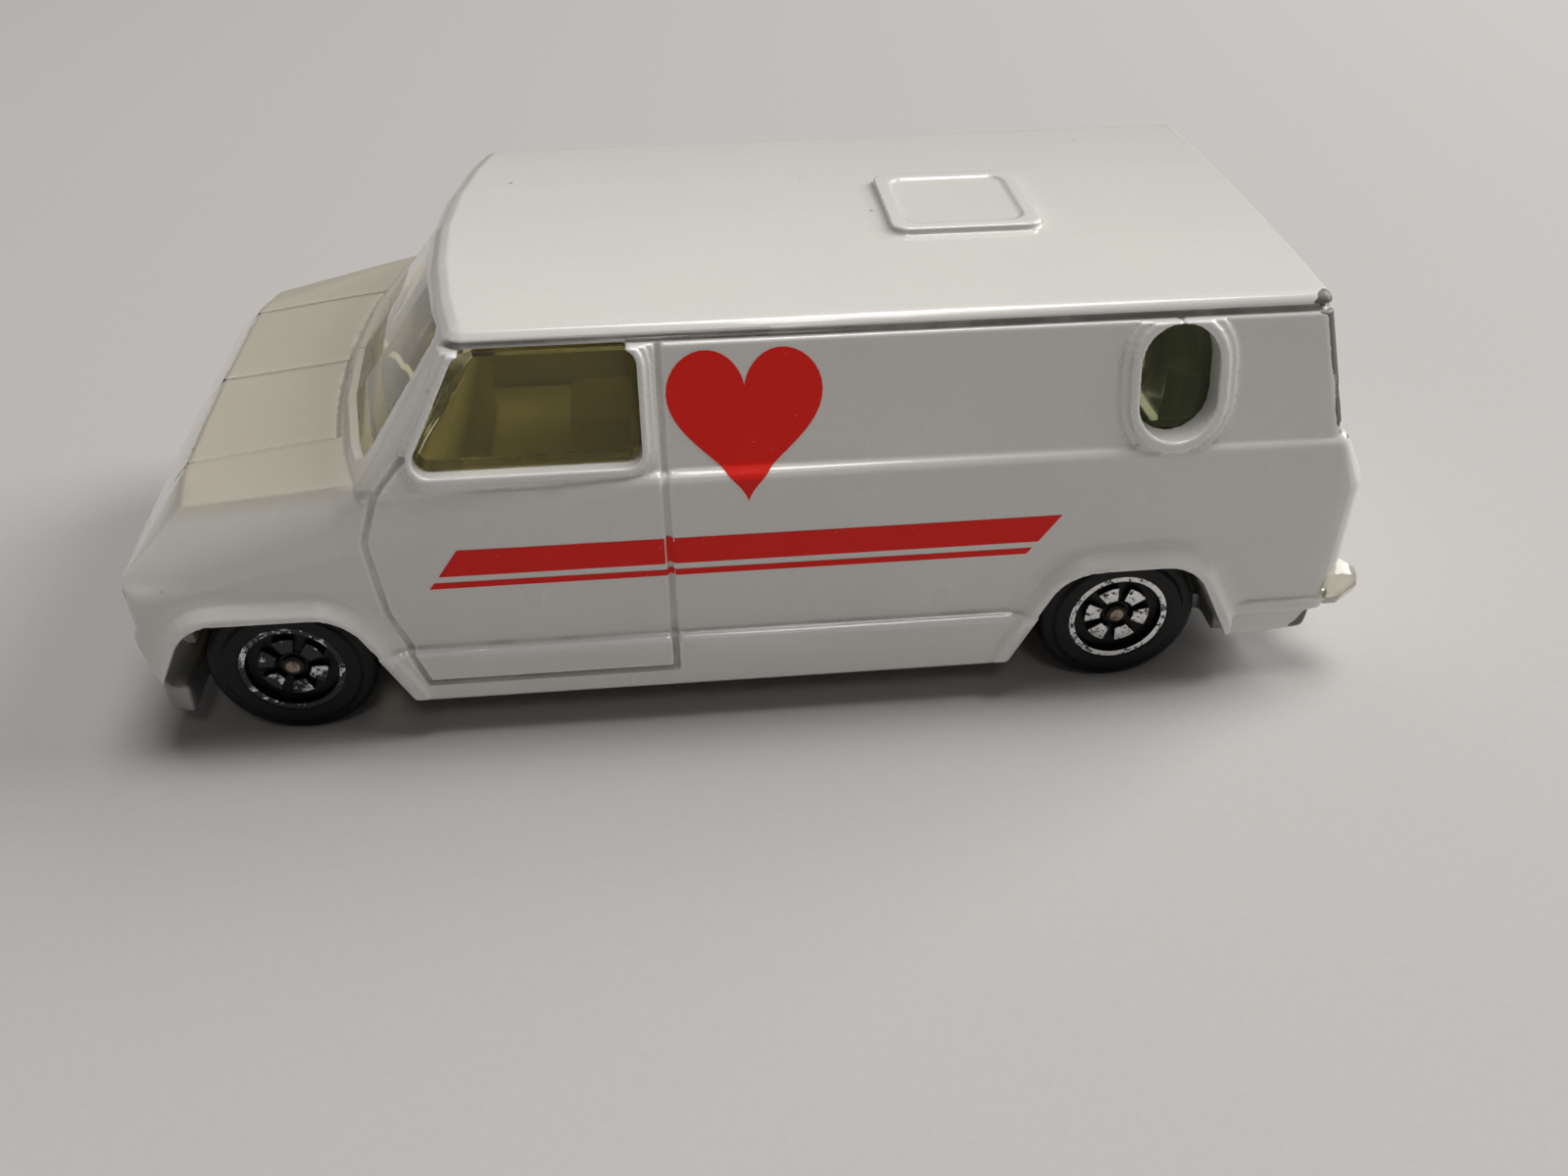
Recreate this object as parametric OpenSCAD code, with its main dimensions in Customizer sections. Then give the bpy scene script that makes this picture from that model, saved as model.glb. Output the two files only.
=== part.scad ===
// Toy ambulance: a small die-cast panel van with a clear window insert and free-running wheels.
// X points to the front, Y to the left side and Z up. The ground is Z = 0, in millimetres.

/* [Overall] */
// Length over the bumper and the tail lamps
length = 70.8; // [68:0.1:75]
// Width across the belt crease
width = 33; // [31.6:0.1:34.4]
// Height to the top of the roof hatch
height = 24.7; // [24:0.1:26]
// Distance from the front axle to the bumper's front
front_overhang = 8.4; // [8.3:0.1:9.2]
// Distance from the rear axle to the tail lamps' ends
rear_overhang = 14.4; // [13.6:0.1:15.2]

/* [Body shell] */
// Wall thickness of the casting
wall = 1.2; // [0.9:0.05:1.4]
// Height of the sill's lower edge
sill_h = 2.7; // [2.5:0.1:3.2]
// Height of the ledge along the sill
step_h = 6; // [5.4:0.1:6.8]
// How far the sill stands out below that ledge
step_out = 0.5; // [0.2:0.05:0.7]
// Height of the belt crease
belt_h = 16.6; // [16.2:0.1:17.2]
// Width of the ledge along the belt crease
shoulder = 0.45; // [0.25:0.05:0.7]
// How far each side leans in from the belt to the gutter
lean_in = 2.05; // [1.4:0.05:2.6]
// Drop from the roof's edge to the gutter
gutter_drop = 0.6; // [0.4:0.05:1]
// Rise of the roof's middle above its edges
roof_crown = 0.3; // [0.1:0.05:0.6]
// Radius of the roof's front and long edges
roof_r = 1.6; // [1.3:0.1:2]
// Height of the hood's front edge
hood_h = 14.8; // [14.2:0.1:15.4]
// Length of the hood to the foot of the windscreen
hood_len = 8.6; // [7.8:0.1:9.2]
// Length of the nose in front of the hood
nose_rake = 3; // [2.4:0.1:3.8]
// Narrowing of the hood on each side
hood_taper = 2.1; // [1.4:0.1:2.8]
// Run of the windscreen from the belt to the gutter
screen_run = 5.75; // [5:0.05:6.5]
// Bow of the windscreen's foot across the width
screen_bow = 2.4; // [1.8:0.1:3]
// Distance of the roof's rear edge from the rear panel
roof_setback = 3.5; // [2.8:0.1:4.4]
// Distance of the rear window's foot from the rear panel
waist_setback = 2.1; // [1.6:0.1:2.8]

/* [Wheel arches] */
// Height of an arch
arch_h = 8.9; // [8.4:0.1:9.4]
// Width of an arch at the sill
arch_w = 13.5; // [12.8:0.1:14.2]
// Radius of an arch's upper corners
arch_r = 3; // [2.4:0.1:3.6]
// How much further the front arch reaches forwards
arch_lead = 1.1; // [0.6:0.1:1.3]
// How far the arch flare stands out past the belt
flare_out = 0.8; // [0.5:0.05:1.1]
// Width of the arch flare
flare_w = 2.3; // [1.6:0.1:2.8]

/* [Doors, windows and roof hatch] */
// Distance of the door's rear edge from the nose
door_setback = 30.2; // [29:0.1:31.5]
// Length of the door along the sill
door_l = 15.2; // [14.6:0.1:15.8]
// Length of the door window along its foot
door_window_l = 11.9; // [10.6:0.1:12.2]
// Length of the door window along its head
door_window_head = 9.5; // [8.4:0.1:9.8]
// Width of the porthole
port_w = 4.3; // [3.6:0.1:4.8]
// Height of the porthole
port_h = 6.2; // [5.6:0.1:6.3]
// Distance of the porthole from the rear panel
port_setback = 11.9; // [11.2:0.1:12.6]
// Length and width of the roof hatch
hatch_w = 8.8; // [7:0.1:10]
// Height of the roof hatch above the roof
hatch_h = 0.35; // [0.2:0.05:0.5]
// Distance of the hatch's middle from the rear panel
hatch_setback = 21.4; // [18:0.1:26]

/* [Wheels and axles] */
// Diameter of a wheel
wheel_d = 9.4; // [8.8:0.1:9.8]
// Width of a wheel
wheel_w = 3.8; // [3.2:0.1:4.2]
// Diameter of an axle
axle_d = 0.9; // [0.8:0.05:1.1]
// Number of pads on the face of a wheel
pad_count = 6; // [4:1:8]

/* [Base] */
// Height of the flat underside
base_h = 1.8; // [1.6:0.1:2.2]
// Thickness of the base plate
base_t = 1.2; // [1:0.1:1.4]
// Height of the front bumper
bumper_h = 2.25; // [2:0.05:2.3]

/* [Window insert and lamps] */
// Thickness of the clear window insert
glass_t = 0.8; // [0.6:0.05:1]
// Diameter of a headlamp
headlamp_d = 3.6; // [3:0.1:4]
// Diameter of a tail lamp
tail_lamp_d = 3; // [2.6:0.1:3.2]
// How far a tail lamp stands out from the rear panel
lamp_proud = 1.1; // [0.9:0.1:1.4]

/* [Interior] */
// Width of a front seat
seat_w = 6.4; // [5.4:0.1:7]
// Number of ribs on a seat's back
seat_ribs = 5; // [3:1:7]

/* [Hidden] */
$fn = 48;

// Overrun of every cut, and the running and fitting gaps
over = 1;
fit_gap = 0.1;
run_gap = 0.05;
wheel_gap = 0.35;
side_gap = 0.3;

// Facets of a rounded edge, and the least radius of one
bead_fn = 20;
small_bead_fn = 12;
bead_r = 0.1;
bow_shares = [0, 0.4, 0.75, 1];

// Places along the length
bumper_x = length / 2;
nose_gap = 0.25;
nose_x = bumper_x - nose_gap;
nose_bow = 0.2;
hood_x = nose_x - nose_rake;
screen_x = hood_x - hood_len;
rear_x = lamp_proud - length / 2;
waist_x = rear_x + waist_setback;
roof_rear_x = rear_x + roof_setback;
front_axle_x = bumper_x - front_overhang;
rear_axle_x = rear_overhang - length / 2;
wheelbase = front_axle_x - rear_axle_x;
axle_places = [front_axle_x, rear_axle_x];
door_x = bumper_x - door_setback;
pillar_x = door_x + door_l;

// Places across the width
side_half = width / 2;
sill_tuck = 0.35;
waist_half = side_half - shoulder;
gutter_half = waist_half - lean_in;
wheel_inset = 0.6;
wheel_face_y = side_half - wheel_inset;
wheel_inner_y = wheel_face_y - wheel_w;

// Heights
roof_edge_z = height - hatch_h - roof_crown;
roof_mid_z = roof_edge_z + roof_crown;
gutter_z = roof_edge_z - gutter_drop;
axle_z = wheel_d / 2;
bumper_z = base_h + bumper_h;
foot_sink = 0.6;
foot_z = belt_h - foot_sink;

// Slopes of the cabin's walls, as run over rise
side_k = lean_in / (gutter_z - belt_h);
screen_k = screen_run / (gutter_z - belt_h);
rear_k = (roof_setback - waist_setback) / (gutter_z - belt_h);

// Edge radii of the body, and how far its open underside is cut through
foot_r = 0.5;
tail_r = 0.8;
edge_r = 0.7;
nose_r = 1.3;
bulge_r = 1.7;
brow_bow_share = 0.65;
open_drop = 3;

// Nose and rear panel
nose_top_h = 10.6;
nose_low_h = 7.4;
nose_taper = 0.25;
nose_tuck = 0.9;
nose_crown = 0.3;
bulge_h = 12.9;
rear_low_h = 8;
rear_taper = 0.3;
rear_tuck = 1.1;
rear_sill_h = 3.5;
cowl_inset = 0.15;
valance_h = 4.8;
valance_d = 0.35;
skirt_h = 0.7;
skirt_out = 0.25;

// Corners of the lower body: a point, the way that it faces, and its radius
lower_corners = concat(
    [for (u = bow_shares)
        [[hood_x - nose_bow * u * u, u * (side_half - hood_taper), hood_h + nose_crown * (1 - u * u)],
            [1, u < 1 ? 0 : 1, 1], u < 1 ? edge_r : nose_r]],
    [for (u = bow_shares, z = [nose_low_h, nose_top_h])
        [[nose_x - nose_bow * u * u, u * (side_half - nose_taper), z], [1, u < 1 ? 0 : 1, 0], nose_r]],
    [for (u = bow_shares)
        [[nose_x - nose_tuck - nose_bow * u * u, u * (side_half - nose_taper), bumper_z],
            [1, u < 1 ? 0 : 1, -1], edge_r]],
    [
        [[pillar_x, waist_half - cowl_inset, belt_h - cowl_inset], [0, 1, 1], edge_r],
        [[door_x, side_half, belt_h], [0, 1, 1], edge_r],
        [[waist_x - shoulder, side_half - rear_taper, belt_h], [-1, 1, 1], tail_r],
        [[rear_x, side_half - rear_taper, bulge_h], [-1, 1, 0], bulge_r],
        [[rear_x, side_half - rear_taper, rear_low_h], [-1, 1, 0], bulge_r],
        [[rear_x + rear_tuck, side_half - sill_tuck, rear_sill_h], [-1, 1, -1], edge_r],
        [[front_axle_x - arch_w / 2, side_half - sill_tuck, sill_h], [0, 1, -1], foot_r],
        [[rear_axle_x + arch_w / 2, side_half - sill_tuck, sill_h], [0, 1, -1], foot_r]
    ]
);

// Arches: each one's place and reach, its flat top, and the flare as shares of its width and rise
arch_places = [[front_axle_x, arch_lead], [rear_axle_x, 0]];
arch_flat_share = 0.5;
flare_shares = [[1, 0], [0.72, 0.08], [0.45, 0.28], [0.12, 0.88], [0, 1]];

// Panel lines and rims
groove_w = 0.34;
groove_d = 0.28;
gutter_w = 0.36;
gutter_d = 0.4;
rim_out = 0.4;
rim_w = 0.7;
port_rim_w = 1;
rim_shares = [[1, 0.45], [0.55, 1]];
hood_line_d = 0.18;
hood_line_w = 0.24;
window_r = 0.8;
window_rise = 0.4;
window_drop = 0.4;
door_post = 1.1;
door_foot = 1.1;
step_layers = 2;
step_blend = 0.3;
door_line_r = 1.5;
hood_line_inset = 6.9;
hood_line_y = side_half - hood_line_inset;
line_steps = 4;
cowl_line = 0.5;
hatch_r = 1;
hatch_rim = 0.9;
hatch_dish = 0.16;

// Windscreen and rear windows, seen from the front
screen_post = 2.1;
screen_taper = 1.6;
screen_drop = 0.1;
screen_recess = 0.3;
screen_back_x = door_x + door_window_head - window_r - fit_gap;
screen_foot_half = waist_half - screen_post;
screen_head_half = screen_foot_half - screen_taper;
screen_foot_z = belt_h + cowl_inset;
screen_head_z = gutter_z - screen_drop;
rear_window_head_z = gutter_z - 2 * window_drop;
rear_window_foot_z = belt_h + 2 * window_r;
rear_post = 1.4;
rear_window_half = gutter_half - rear_post;

// Door line in front, as shares of the door's length and of the height from sill to belt
door_front_shares = [[0.885, 1.1], [1.005, 0.95], [1.065, 0.76], [1.035, 0.42], [0.925, 0.08]];

// Grille, and the lamps' places
grille_slots = 5;
grille_foot_z = 6.4;
grille_pitch = 1;
grille_slot_h = 0.55;
grille_d = 0.45;
headlamp_inset = 4.9;
headlamp_y = side_half - headlamp_inset;
headlamp_z = (nose_low_h + nose_top_h) / 2;
headlamp_seat = 0.9;
grille_gap = 0.8;
grille_half = headlamp_y - headlamp_d / 2 - grille_gap;
headlamp_rim_t = 0.5;
headlamp_dome = 0.4;
lamp_stem_d = 1.6;
tail_lamp_inset = 1.6;
tail_lamp_z = 5.9;
tail_lamp_seat = 1;
tail_lamp_table_share = 0.55;
tail_lamp_girdle_share = 0.45;
lamp_facets = 8;

// Rivet posts of the casting, closed over the base from below
post_d = 3;
rivet_d = 2;
rivet_head_d = 3.2;
rivet_head_t = 0.35;
rivet_sink = 0.6;
post_lead = 4;
post_front_x = front_axle_x + post_lead;
post_web_t = 1;

// Wheel face, as depths from the face and radii
hub_r = 0.95;
hub_sink = 0.55;
dish_sink = 0.7;
pad_sink = 0.3;
pad_in_r = 1;
pad_out_r = 1.95;
pad_angle = 39;
ring_in_r = 2.58;
ring_out_r = 2.95;
ring_sink = 0.08;
shoulder_in = 0.75;
shoulder_drop = 0.2;
tread_r = 0.5;
bore_r = axle_d / 2 + run_gap;
axle_head_d = axle_d + 4 * run_gap + 2 * fit_gap;
axle_head_t = 0.28;

// Base
base_narrow_half = wheel_inner_y - side_gap;
base_wide_half = side_half - sill_tuck - wall - 2 * fit_gap;
base_tail_half = base_wide_half - wall / 2;
base_rear_x = rear_x + rear_tuck + wall + 2 * fit_gap;
base_corner_r = 1;
post_rear_x = base_rear_x + rivet_head_d / 2 + wall / 2;
post_places = [[post_front_x, hood_h - wall / 2], [post_rear_x, bulge_h]];
base_arch_half = arch_w / 2 - wall;
bumper_t = 1.9;
bumper_inset = 0.7;
bumper_half = side_half - bumper_inset;
bumper_leg_x = front_axle_x + wheel_d / 2 + wall;
bumper_r = 1.5;
bumper_bow = 0.6;
bearing_w = 1.6;
bearing_l = 3;
bearing_over = 0.5;
housing_t = 0.6;
housing_rise = 3.4;
housing_run = 1.9;
relief_d = 0.3;
relief_half_l_share = 0.62;
relief_w = 6;
relief_gap = 2;

// Interior
tray_t = 0.8;
tray_z = axle_z + axle_d / 2 + bearing_over + run_gap;
tray_half = side_half - sill_tuck - wall - 4 * fit_gap;
tray_front_x = front_axle_x + bearing_l / 2;
tray_rear_x = rear_axle_x - bearing_l;
tray_wide_x = screen_x - 3 * wall;
tongue_half = base_narrow_half - side_gap;
dash_l = 2.4;
dash_h = 6.6;
dash_r = 1;
seat_l = 5.4;
seat_h = 3.4;
seat_r = 0.9;
seat_back_t = 1.4;
seat_back_h = 7.4;
seat_y = 6.3;
seat_rib_d = 0.25;
wheel_ring_d = 4.6;
wheel_ring_t = 0.6;
wheel_ring_tilt = 62;
wheel_column_d = 0.9;
wheel_column_l = 2.4;

// Functions

function unit(v) = v / norm(v);

// Place of a wall that leans in with height, seen at height z and a depth d inside the wall
function lean(at, at_z, z, k, d) = at - (z - at_z) * k - d * sqrt(1 + k * k);

// Centre of a rounded corner that faces along dir, on the body grown by an amount
function corner(p, dir, r, grow) = p + dir * (grow - max(r + grow, bead_r));

// Points of the arc that rounds the corner b of the path a, b, c
function corner_arc(a, b, c, r, steps = 6) =
    let (u = unit(a - b), w = unit(c - b), half = acos(u * w) / 2,
        o = b + unit(u + w) * r / sin(half), t = r / tan(half),
        from = b + u * t - o, to = b + w * t - o,
        start = atan2(from.y, from.x),
        turn = (atan2(to.y, to.x) - start + 540) % 360 - 180)
    [for (i = [0:steps]) o + r * [cos(start + turn * i / steps), sin(start + turn * i / steps)]];

// Closed outline with every corner rounded alike
function rounded(pts, r) =
    [for (i = [0:len(pts) - 1])
        each corner_arc(pts[(i + len(pts) - 1) % len(pts)], pts[i], pts[(i + 1) % len(pts)], r)];

// Open path with its inner corners rounded alike
function rounded_path(pts, r) = concat(
    [pts[0]],
    [for (i = [1:len(pts) - 2]) each corner_arc(pts[i - 1], pts[i], pts[i + 1], r)],
    [pts[len(pts) - 1]]);

// Outline of one half and its mirror image across X
function mirrored(half) = concat(half, [for (i = [len(half) - 1:-1:0]) [half[i].x, -half[i].y]]);

// Shared shapes

module both_sides() {
    children();
    mirror([0, 1, 0]) children();
}

module both_sides_2d() {
    children();
    mirror([1, 0]) children();
}

module bead_pair(p, r) {
    for (s = [-1, 1]) translate([p.x, s * p.y, p.z])
        sphere(r = r, $fn = r < roof_r / 2 ? small_bead_fn : bead_fn);
}

// Shape seen from the left side, carried right through the width
module through_y(depth = width + 2 * over) {
    rotate([90, 0, 0]) linear_extrude(depth, center = true) children();
}

// Shape seen from the front, with Y to the right, carried along X from one place to another
module along_x(from, to) {
    translate([from, 0, 0]) rotate([90, 0, 90]) linear_extrude(to - from) children();
}

module rounded_box(l, w, h, r) {
    linear_extrude(h) polygon(rounded([[l, w] / 2, [-l, w] / 2, [-l, -w] / 2, [l, -w] / 2], r));
}

// Line of even width along a path
module line_2d(pts, w = groove_w) {
    for (i = [1:len(pts) - 1]) hull() {
        translate(pts[i - 1]) circle(d = w, $fn = 8);
        translate(pts[i]) circle(d = w, $fn = 8);
    }
}

// Body shell

// Cabin above the belt, grown or shrunk evenly, with its foot let down by a drop
module cabin(grow = 0, drop = 0) {
    top_r = max(roof_r + grow, bead_r);
    back_r = max(tail_r + grow, bead_r);
    low_r = max(foot_r + grow, bead_r);
    top_d = top_r - grow;
    back_d = back_r - grow;
    low_d = low_r - grow;
    top_z = roof_edge_z - top_d;
    back_z = roof_edge_z - back_d;
    top_y = lean(gutter_half, gutter_z, top_z, side_k, top_d);
    hull() {
        for (u = bow_shares) {
            bead_pair([lean(screen_x, belt_h, top_z, screen_k, top_d) - brow_bow_share * screen_bow * u * u,
                u * top_y, top_z + roof_crown * (1 - u * u)], top_r);
            for (z = [foot_z, foot_z - drop])
                bead_pair([lean(screen_x, belt_h, foot_z, screen_k, low_d) - screen_bow * u * u,
                    u * lean(gutter_half, gutter_z, belt_h, side_k, low_d), z], low_r);
            bead_pair([-lean(-waist_x, belt_h, back_z, rear_k, back_d),
                u * lean(gutter_half, gutter_z, back_z, side_k, back_d),
                back_z + roof_crown * (1 - u * u)], back_r);
        }
        bead_pair([roof_rear_x + 2 * roof_r, top_y, top_z], top_r);
        for (z = [foot_z, foot_z - drop])
            bead_pair([-lean(-waist_x, belt_h, foot_z, rear_k, back_d),
                lean(gutter_half, gutter_z, belt_h, side_k, back_d), z], back_r);
    }
}

// Nose, sides and rear panel below the belt, grown or shrunk evenly, with the underside let down by a drop
module lower_body(grow = 0, drop = 0) {
    hull() for (c = lower_corners) {
        p = corner(c[0], c[1], c[2], grow);
        bead_pair([p.x, p.y, p.z - (c[1].z < 0 ? drop : 0)], max(c[2] + grow, bead_r));
    }
}

module whole_form(grow = 0, drop = 0) {
    cabin(grow, drop);
    lower_body(grow, drop);
}

// Arch that reaches further by lead on its front side, grown evenly
module arch_outline(lead, grow = 0) {
    top_half = (arch_w / 2 - arch_r) * arch_flat_share;
    hull() for (s = [-1, 1]) {
        reach = s > 0 ? lead : 0;
        translate([s * top_half + reach, arch_h - arch_r]) circle(r = arch_r + grow, $fn = 32);
        for (z = [sill_h, -over])
            translate([s * arch_w / 2 + reach, z]) circle(r = bead_r + grow, $fn = 16);
    }
}

module arches() {
    for (a = arch_places) translate([a[0], 0]) arch_outline(a[1]);
}

module door_window_outline(grow = 0) {
    foot = belt_h + window_rise + window_r;
    head = gutter_z - window_drop - window_r;
    back = door_x + door_post + window_r;
    hull() {
        for (p = [[back, foot], [back, head], [back + door_window_head - 2 * window_r, head],
            [back + door_window_l - 2 * window_r, foot]])
            translate(p) circle(r = window_r + grow, $fn = 16);
    }
}

module port_outline(grow = 0) {
    middle = gutter_z - gutter_w - fit_gap - port_h / 2;
    hull() for (s = [-1, 1])
        translate([rear_x + port_setback, middle + s * (port_h - port_w) / 2])
            circle(r = port_w / 2 + grow, $fn = 28);
}

module screen_outline(grow = 0) {
    hull() for (s = [-1, 1], p = [[screen_foot_half - window_r, screen_foot_z + window_r],
        [screen_head_half - window_r, screen_head_z - window_r]])
        translate([s * p.x, p.y]) circle(r = window_r + grow, $fn = 16);
}

module rear_window_outline() {
    for (s = [-1, 1]) hull() {
        for (y = [rear_post / 2 + window_r, rear_window_half - window_r],
            z = [rear_window_foot_z + window_r, rear_window_head_z - window_r])
            translate([s * y, z]) circle(r = window_r, $fn = 16);
    }
}

// Raised rims round the door windows and portholes, in steps that narrow as they rise
module rims() {
    for (s = rim_shares) intersection() {
        cabin(s[1] * rim_out);
        through_y() {
            door_window_outline(s[0] * rim_w);
            port_outline(s[0] * port_rim_w);
        }
        translate([-length / 2, -side_half, belt_h - shoulder])
            cube([length, width, gutter_z - gutter_w / 2 - belt_h + shoulder]);
    }
}

// Lip swept out round each arch: outlines that draw in as they stand out, joined one to the next
module flares() {
    root_y = side_half - sill_tuck;
    rise = sill_tuck + flare_out;
    intersection() {
        translate([-bead_r, 0, 0]) scale([1, 1 + flare_out / side_half, 1]) lower_body();
        both_sides() for (a = arch_places, i = [1:len(flare_shares) - 1])
            hull() for (f = [flare_shares[i - 1], flare_shares[i]])
                translate([a[0], root_y + f[1] * rise, 0]) rotate([90, 0, 0]) linear_extrude(bead_r)
                    arch_outline(a[1], f[0] * flare_w);
    }
}

module sill_step() {
    for (i = [1:step_layers]) intersection() {
        lower_body(step_out * i / step_layers);
        translate([rear_axle_x, -width / 2, 0])
            cube([wheelbase, width, step_h - step_blend * (i - 1)]);
    }
}

// Lip round the tail above the recessed valance
module rear_skirt() {
    intersection() {
        lower_body(skirt_out);
        translate([-length / 2, -width / 2, valance_h])
            cube([length / 2 + rear_axle_x, width, skirt_h]);
    }
}

// Lower edge of the tail, set back below the lip
module rear_valance() {
    difference() {
        translate([-length / 2 - over, -width / 2 - over, -over])
            cube([length / 2 + over + rear_axle_x - arch_w / 2 + bead_r, width + 2 * over, over + valance_h]);
        lower_body(-valance_d);
    }
}

module hatch(inset, h) {
    translate([rear_x + hatch_setback, 0, roof_edge_z - wall / 2])
        rounded_box(hatch_w - 2 * inset, hatch_w - 2 * inset, roof_crown + wall / 2 + h, hatch_r);
}

// Shut lines of the doors and the hood, as cutters that reach right through
module panel_lines() {
    door_foot_z = sill_h + door_foot;
    top_z = gutter_z - gutter_w / 2;
    front = [for (s = door_front_shares) [door_x + s[0] * door_l, sill_h + s[1] * (belt_h - sill_h)]];
    last = front[len(front) - 1];
    through_y() {
        line_2d(rounded_path(front, door_line_r));
        line_2d([last, [last.x, door_foot_z], [door_x, door_foot_z], [door_x, top_z]]);
    }
    along_x(-length / 2 - over, rear_x + roof_setback + over) {
        line_2d([[0, step_h], [0, top_z]]);
        both_sides_2d() line_2d([[0, step_h], [rear_window_half + rim_w, step_h],
            [rear_window_half + rim_w, top_z]]);
    }
}

// Lines of the hood's lid: its two sides, its middle and its bowed rear edge
module hood_lines() {
    back_x = screen_x + cowl_line;
    translate([0, 0, hood_h - over]) linear_extrude(belt_h - hood_h + 2 * over) {
        for (y = [-hood_line_y, 0, hood_line_y])
            line_2d([[back_x - screen_bow * pow(y / side_half, 2), y], [hood_x + over, y]], hood_line_w);
        line_2d([for (i = [-line_steps:line_steps])
            let (y = i * hood_line_y / line_steps) [back_x - screen_bow * pow(y / side_half, 2), y]],
            hood_line_w);
    }
}

module grille_slots() {
    for (i = [0:grille_slots - 1])
        translate([hood_x, -grille_half, grille_foot_z + i * grille_pitch])
            cube([nose_rake + over, 2 * grille_half, grille_slot_h]);
}

module gutter() {
    both_sides() translate([-length / 2, gutter_half - 2 * gutter_d, gutter_z - gutter_w])
        cube([length / 2 + door_x + door_post + door_window_head + rim_w, 2 * over, gutter_w]);
}

// Posts that the base is closed on, the rear one webbed to the rear panel
module rivet_posts() {
    foot_z = base_h + base_t + fit_gap;
    translate([rear_x + wall / 2, -post_web_t / 2, foot_z + wall])
        cube([post_rear_x - rear_x - wall / 2, post_web_t, bulge_h - foot_z - wall]);
    for (p = post_places) {
        translate([p[0], 0, foot_z]) cylinder(d = post_d, h = p[1] - foot_z, $fn = 20);
        translate([p[0], 0, base_h + rivet_sink - rivet_head_t])
            cylinder(d = rivet_d, h = base_t, $fn = 20);
        translate([p[0], 0, base_h + rivet_sink - rivet_head_t - run_gap])
            cylinder(d = rivet_head_d, h = rivet_head_t, $fn = 20);
    }
}

module wheel_wells() {
    for (x = axle_places) both_sides()
        translate([x, wheel_inner_y - 2 * side_gap, axle_z]) rotate([-90, 0, 0])
            cylinder(d = wheel_d + 4 * side_gap, h = wheel_w + 2 * side_gap + wheel_gap, $fn = 32);
}

module body_shell() {
    color("ivory") {
        difference() {
            union() {
                whole_form();
                flares();
                sill_step();
                rear_skirt();
                rims();
                hatch(0, hatch_h);
            }
            whole_form(-wall, open_drop);
            difference() {
                panel_lines();
                whole_form(-groove_d);
            }
            difference() {
                hood_lines();
                whole_form(-hood_line_d);
            }
            difference() {
                gutter();
                cabin(-gutter_d);
            }
            difference() {
                grille_slots();
                lower_body(-grille_d);
            }
            hatch_dish();
            through_y() door_window_outline();
            through_y() port_outline();
            along_x(screen_back_x, nose_x) screen_outline();
            along_x(-length / 2, roof_rear_x + 2 * wall) rear_window_outline();
            both_sides() translate([0, wheel_inner_y + side_half, 0]) through_y(width) arches();
            rear_valance();
            wheel_wells();
            front_cut();
            lamp_sockets();
        }
        rivet_posts();
        lamp_bosses();
    }
}

// Dished middle of the roof hatch
module hatch_dish() {
    translate([rear_x + hatch_setback, 0, roof_mid_z + hatch_h - hatch_dish])
        rounded_box(hatch_w - 2 * hatch_rim, hatch_w - 2 * hatch_rim, over, hatch_r);
}

// The nose ends above the bumper
module front_cut() {
    translate([front_axle_x, -width / 2, -over])
        cube([front_overhang + over, width, over + bumper_z + fit_gap]);
}

// Round seat for a lamp, with a hole for its stem
module lamp_socket(d) {
    cylinder(d = d + 2 * fit_gap, h = nose_rake, $fn = 32);
    translate([0, 0, -2 * wall]) cylinder(d = lamp_stem_d + 2 * fit_gap, h = 2 * wall + over, $fn = 24);
}

module lamp_sockets() {
    both_sides() {
        headlamp_place() lamp_socket(headlamp_d);
        tail_lamp_place() lamp_socket(tail_lamp_d);
    }
}

// Backing inside the tail's corners, with the holes of the tail lamps' stems
module lamp_bosses() {
    both_sides() difference() {
        intersection() {
            lower_body(-wall / 2);
            tail_lamp_place() translate([0, 0, -wall]) cylinder(d = tail_lamp_d + wall, h = wall, $fn = 32);
        }
        tail_lamp_place() lamp_socket(tail_lamp_d);
    }
}

// Lamps

// The seat of the left headlamp, facing forwards
module headlamp_place() {
    translate([nose_x - nose_bow - headlamp_seat, headlamp_y, headlamp_z]) rotate([0, 90, 0]) children();
}

// The seat of the left tail lamp, facing backwards
module tail_lamp_place() {
    translate([rear_x + tail_lamp_seat, side_half - tail_lamp_inset, tail_lamp_z])
        rotate([0, -90, 0]) children();
}

module headlamp() {
    color("whitesmoke") headlamp_place() rotate_extrude() polygon(concat(
        [[0, -wall], [lamp_stem_d / 2, -wall], [lamp_stem_d / 2, 0], [headlamp_d / 2, 0]],
        [for (a = [0:15:90]) [headlamp_d / 2 * cos(a), headlamp_rim_t + headlamp_dome * sin(a)]]));
}

// Cut stone on a stem: a girdle, a ring of facets and a flat table
module tail_lamp() {
    stone_h = lamp_proud + tail_lamp_seat;
    girdle_h = stone_h * tail_lamp_girdle_share;
    color("lightyellow") tail_lamp_place() {
        translate([0, 0, -wall]) cylinder(d = lamp_stem_d, h = wall);
        cylinder(d = tail_lamp_d, h = girdle_h, $fn = lamp_facets);
        translate([0, 0, girdle_h]) cylinder(d1 = tail_lamp_d, d2 = tail_lamp_d * tail_lamp_table_share,
            h = stone_h - girdle_h, $fn = lamp_facets);
    }
}

module headlamp_left() { headlamp(); }
module headlamp_right() { mirror([0, 1, 0]) headlamp(); }
module tail_lamp_left() { tail_lamp(); }
module tail_lamp_right() { mirror([0, 1, 0]) tail_lamp(); }

// Window insert: a clear canopy that lines the cabin

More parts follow.
